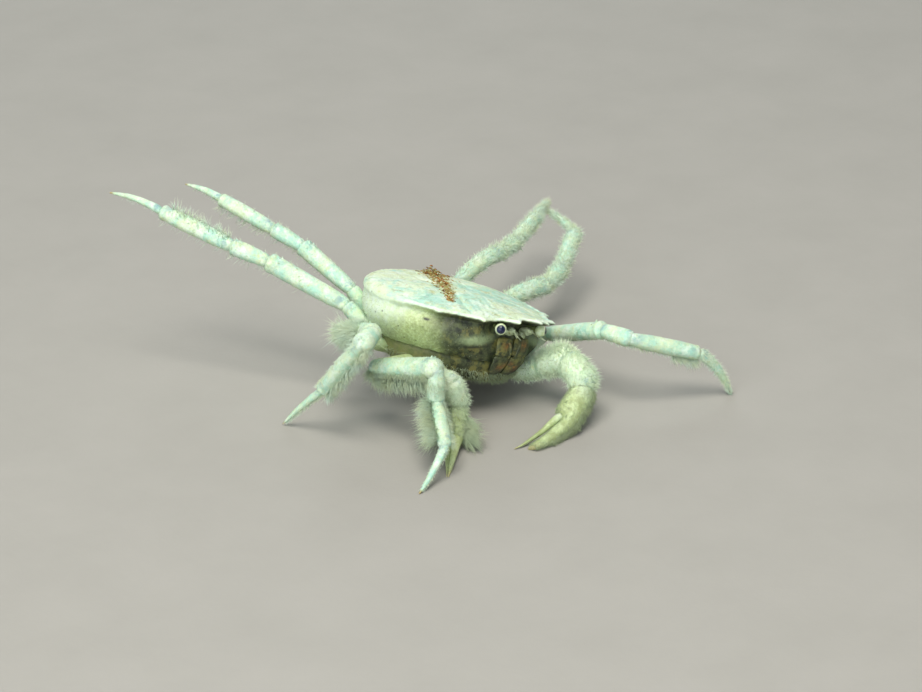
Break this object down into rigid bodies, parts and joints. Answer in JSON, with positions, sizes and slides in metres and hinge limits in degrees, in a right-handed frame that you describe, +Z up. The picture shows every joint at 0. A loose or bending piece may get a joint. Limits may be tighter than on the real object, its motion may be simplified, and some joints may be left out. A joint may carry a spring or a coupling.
{
  "type": "thai micro crab",
  "caption": "Life-size still model of a small freshwater crab with a flat round shell, long slender hairy legs and small woolly claws, standing with one side low.",
  "frame": {"origin": "middle of the footprint of the whole crab, on the floor that it stands on", "axes": "+Z up, the crab faces -Y, its right side is towards -X"},
  "size_m": [0.022, 0.024, 0.0082],
  "materials": {
    "shell": "pale cream and teal-white shell, satin, olive-grey at its sides",
    "leg": "pale cream shell with faint blue-grey marks at the joints, satin",
    "claw": "yellowish olive under woolly hair",
    "underside": "dull olive brown",
    "eye": "glossy blue-black"
  },
  "bodies": {
    "root": {"carapace": "shell", "thorax": "underside", "pleon": "underside", "eye_right": "eye", "eye_left": "eye", "feeler_right": "underside", "feeler_left": "underside", "maxilliped_right": "underside", "maxilliped_left": "underside", "claw_right_coxa": "claw", "claw_right_merus": "claw", "claw_right_carpus": "claw", "claw_right_palm": "claw", "claw_right_finger": "claw", "claw_left_coxa": "claw", "claw_left_merus": "claw", "claw_left_carpus": "claw", "claw_left_palm": "claw", "claw_left_finger": "claw", "leg_p2_right_coxa": "leg", "leg_p2_right_merus": "leg", "leg_p2_right_carpus": "leg", "leg_p2_right_propodus": "leg", "leg_p2_right_dactylus": "leg", "leg_p3_right_coxa": "leg", "leg_p3_right_merus": "leg", "leg_p3_right_carpus": "leg", "leg_p3_right_propodus": "leg", "leg_p3_right_dactylus": "leg", "leg_p4_right_coxa": "leg", "leg_p4_right_merus": "leg", "leg_p4_right_carpus": "leg", "leg_p4_right_propodus": "leg", "leg_p4_right_dactylus": "leg", "leg_p5_right_coxa": "leg", "leg_p5_right_merus": "leg", "leg_p5_right_carpus": "leg", "leg_p5_right_propodus": "leg", "leg_p5_right_dactylus": "leg", "leg_p2_left_coxa": "leg", "leg_p2_left_merus": "leg", "leg_p2_left_carpus": "leg", "leg_p2_left_propodus": "leg", "leg_p2_left_dactylus": "leg", "leg_p3_left_coxa": "leg", "leg_p3_left_merus": "leg", "leg_p3_left_carpus": "leg", "leg_p3_left_propodus": "leg", "leg_p3_left_dactylus": "leg", "leg_p4_left_coxa": "leg", "leg_p4_left_merus": "leg", "leg_p4_left_carpus": "leg", "leg_p4_left_propodus": "leg", "leg_p4_left_dactylus": "leg", "leg_p5_left_coxa": "leg", "leg_p5_left_merus": "leg", "leg_p5_left_carpus": "leg", "leg_p5_left_propodus": "leg", "leg_p5_left_dactylus": "leg"}
  },
  "joints": []
}
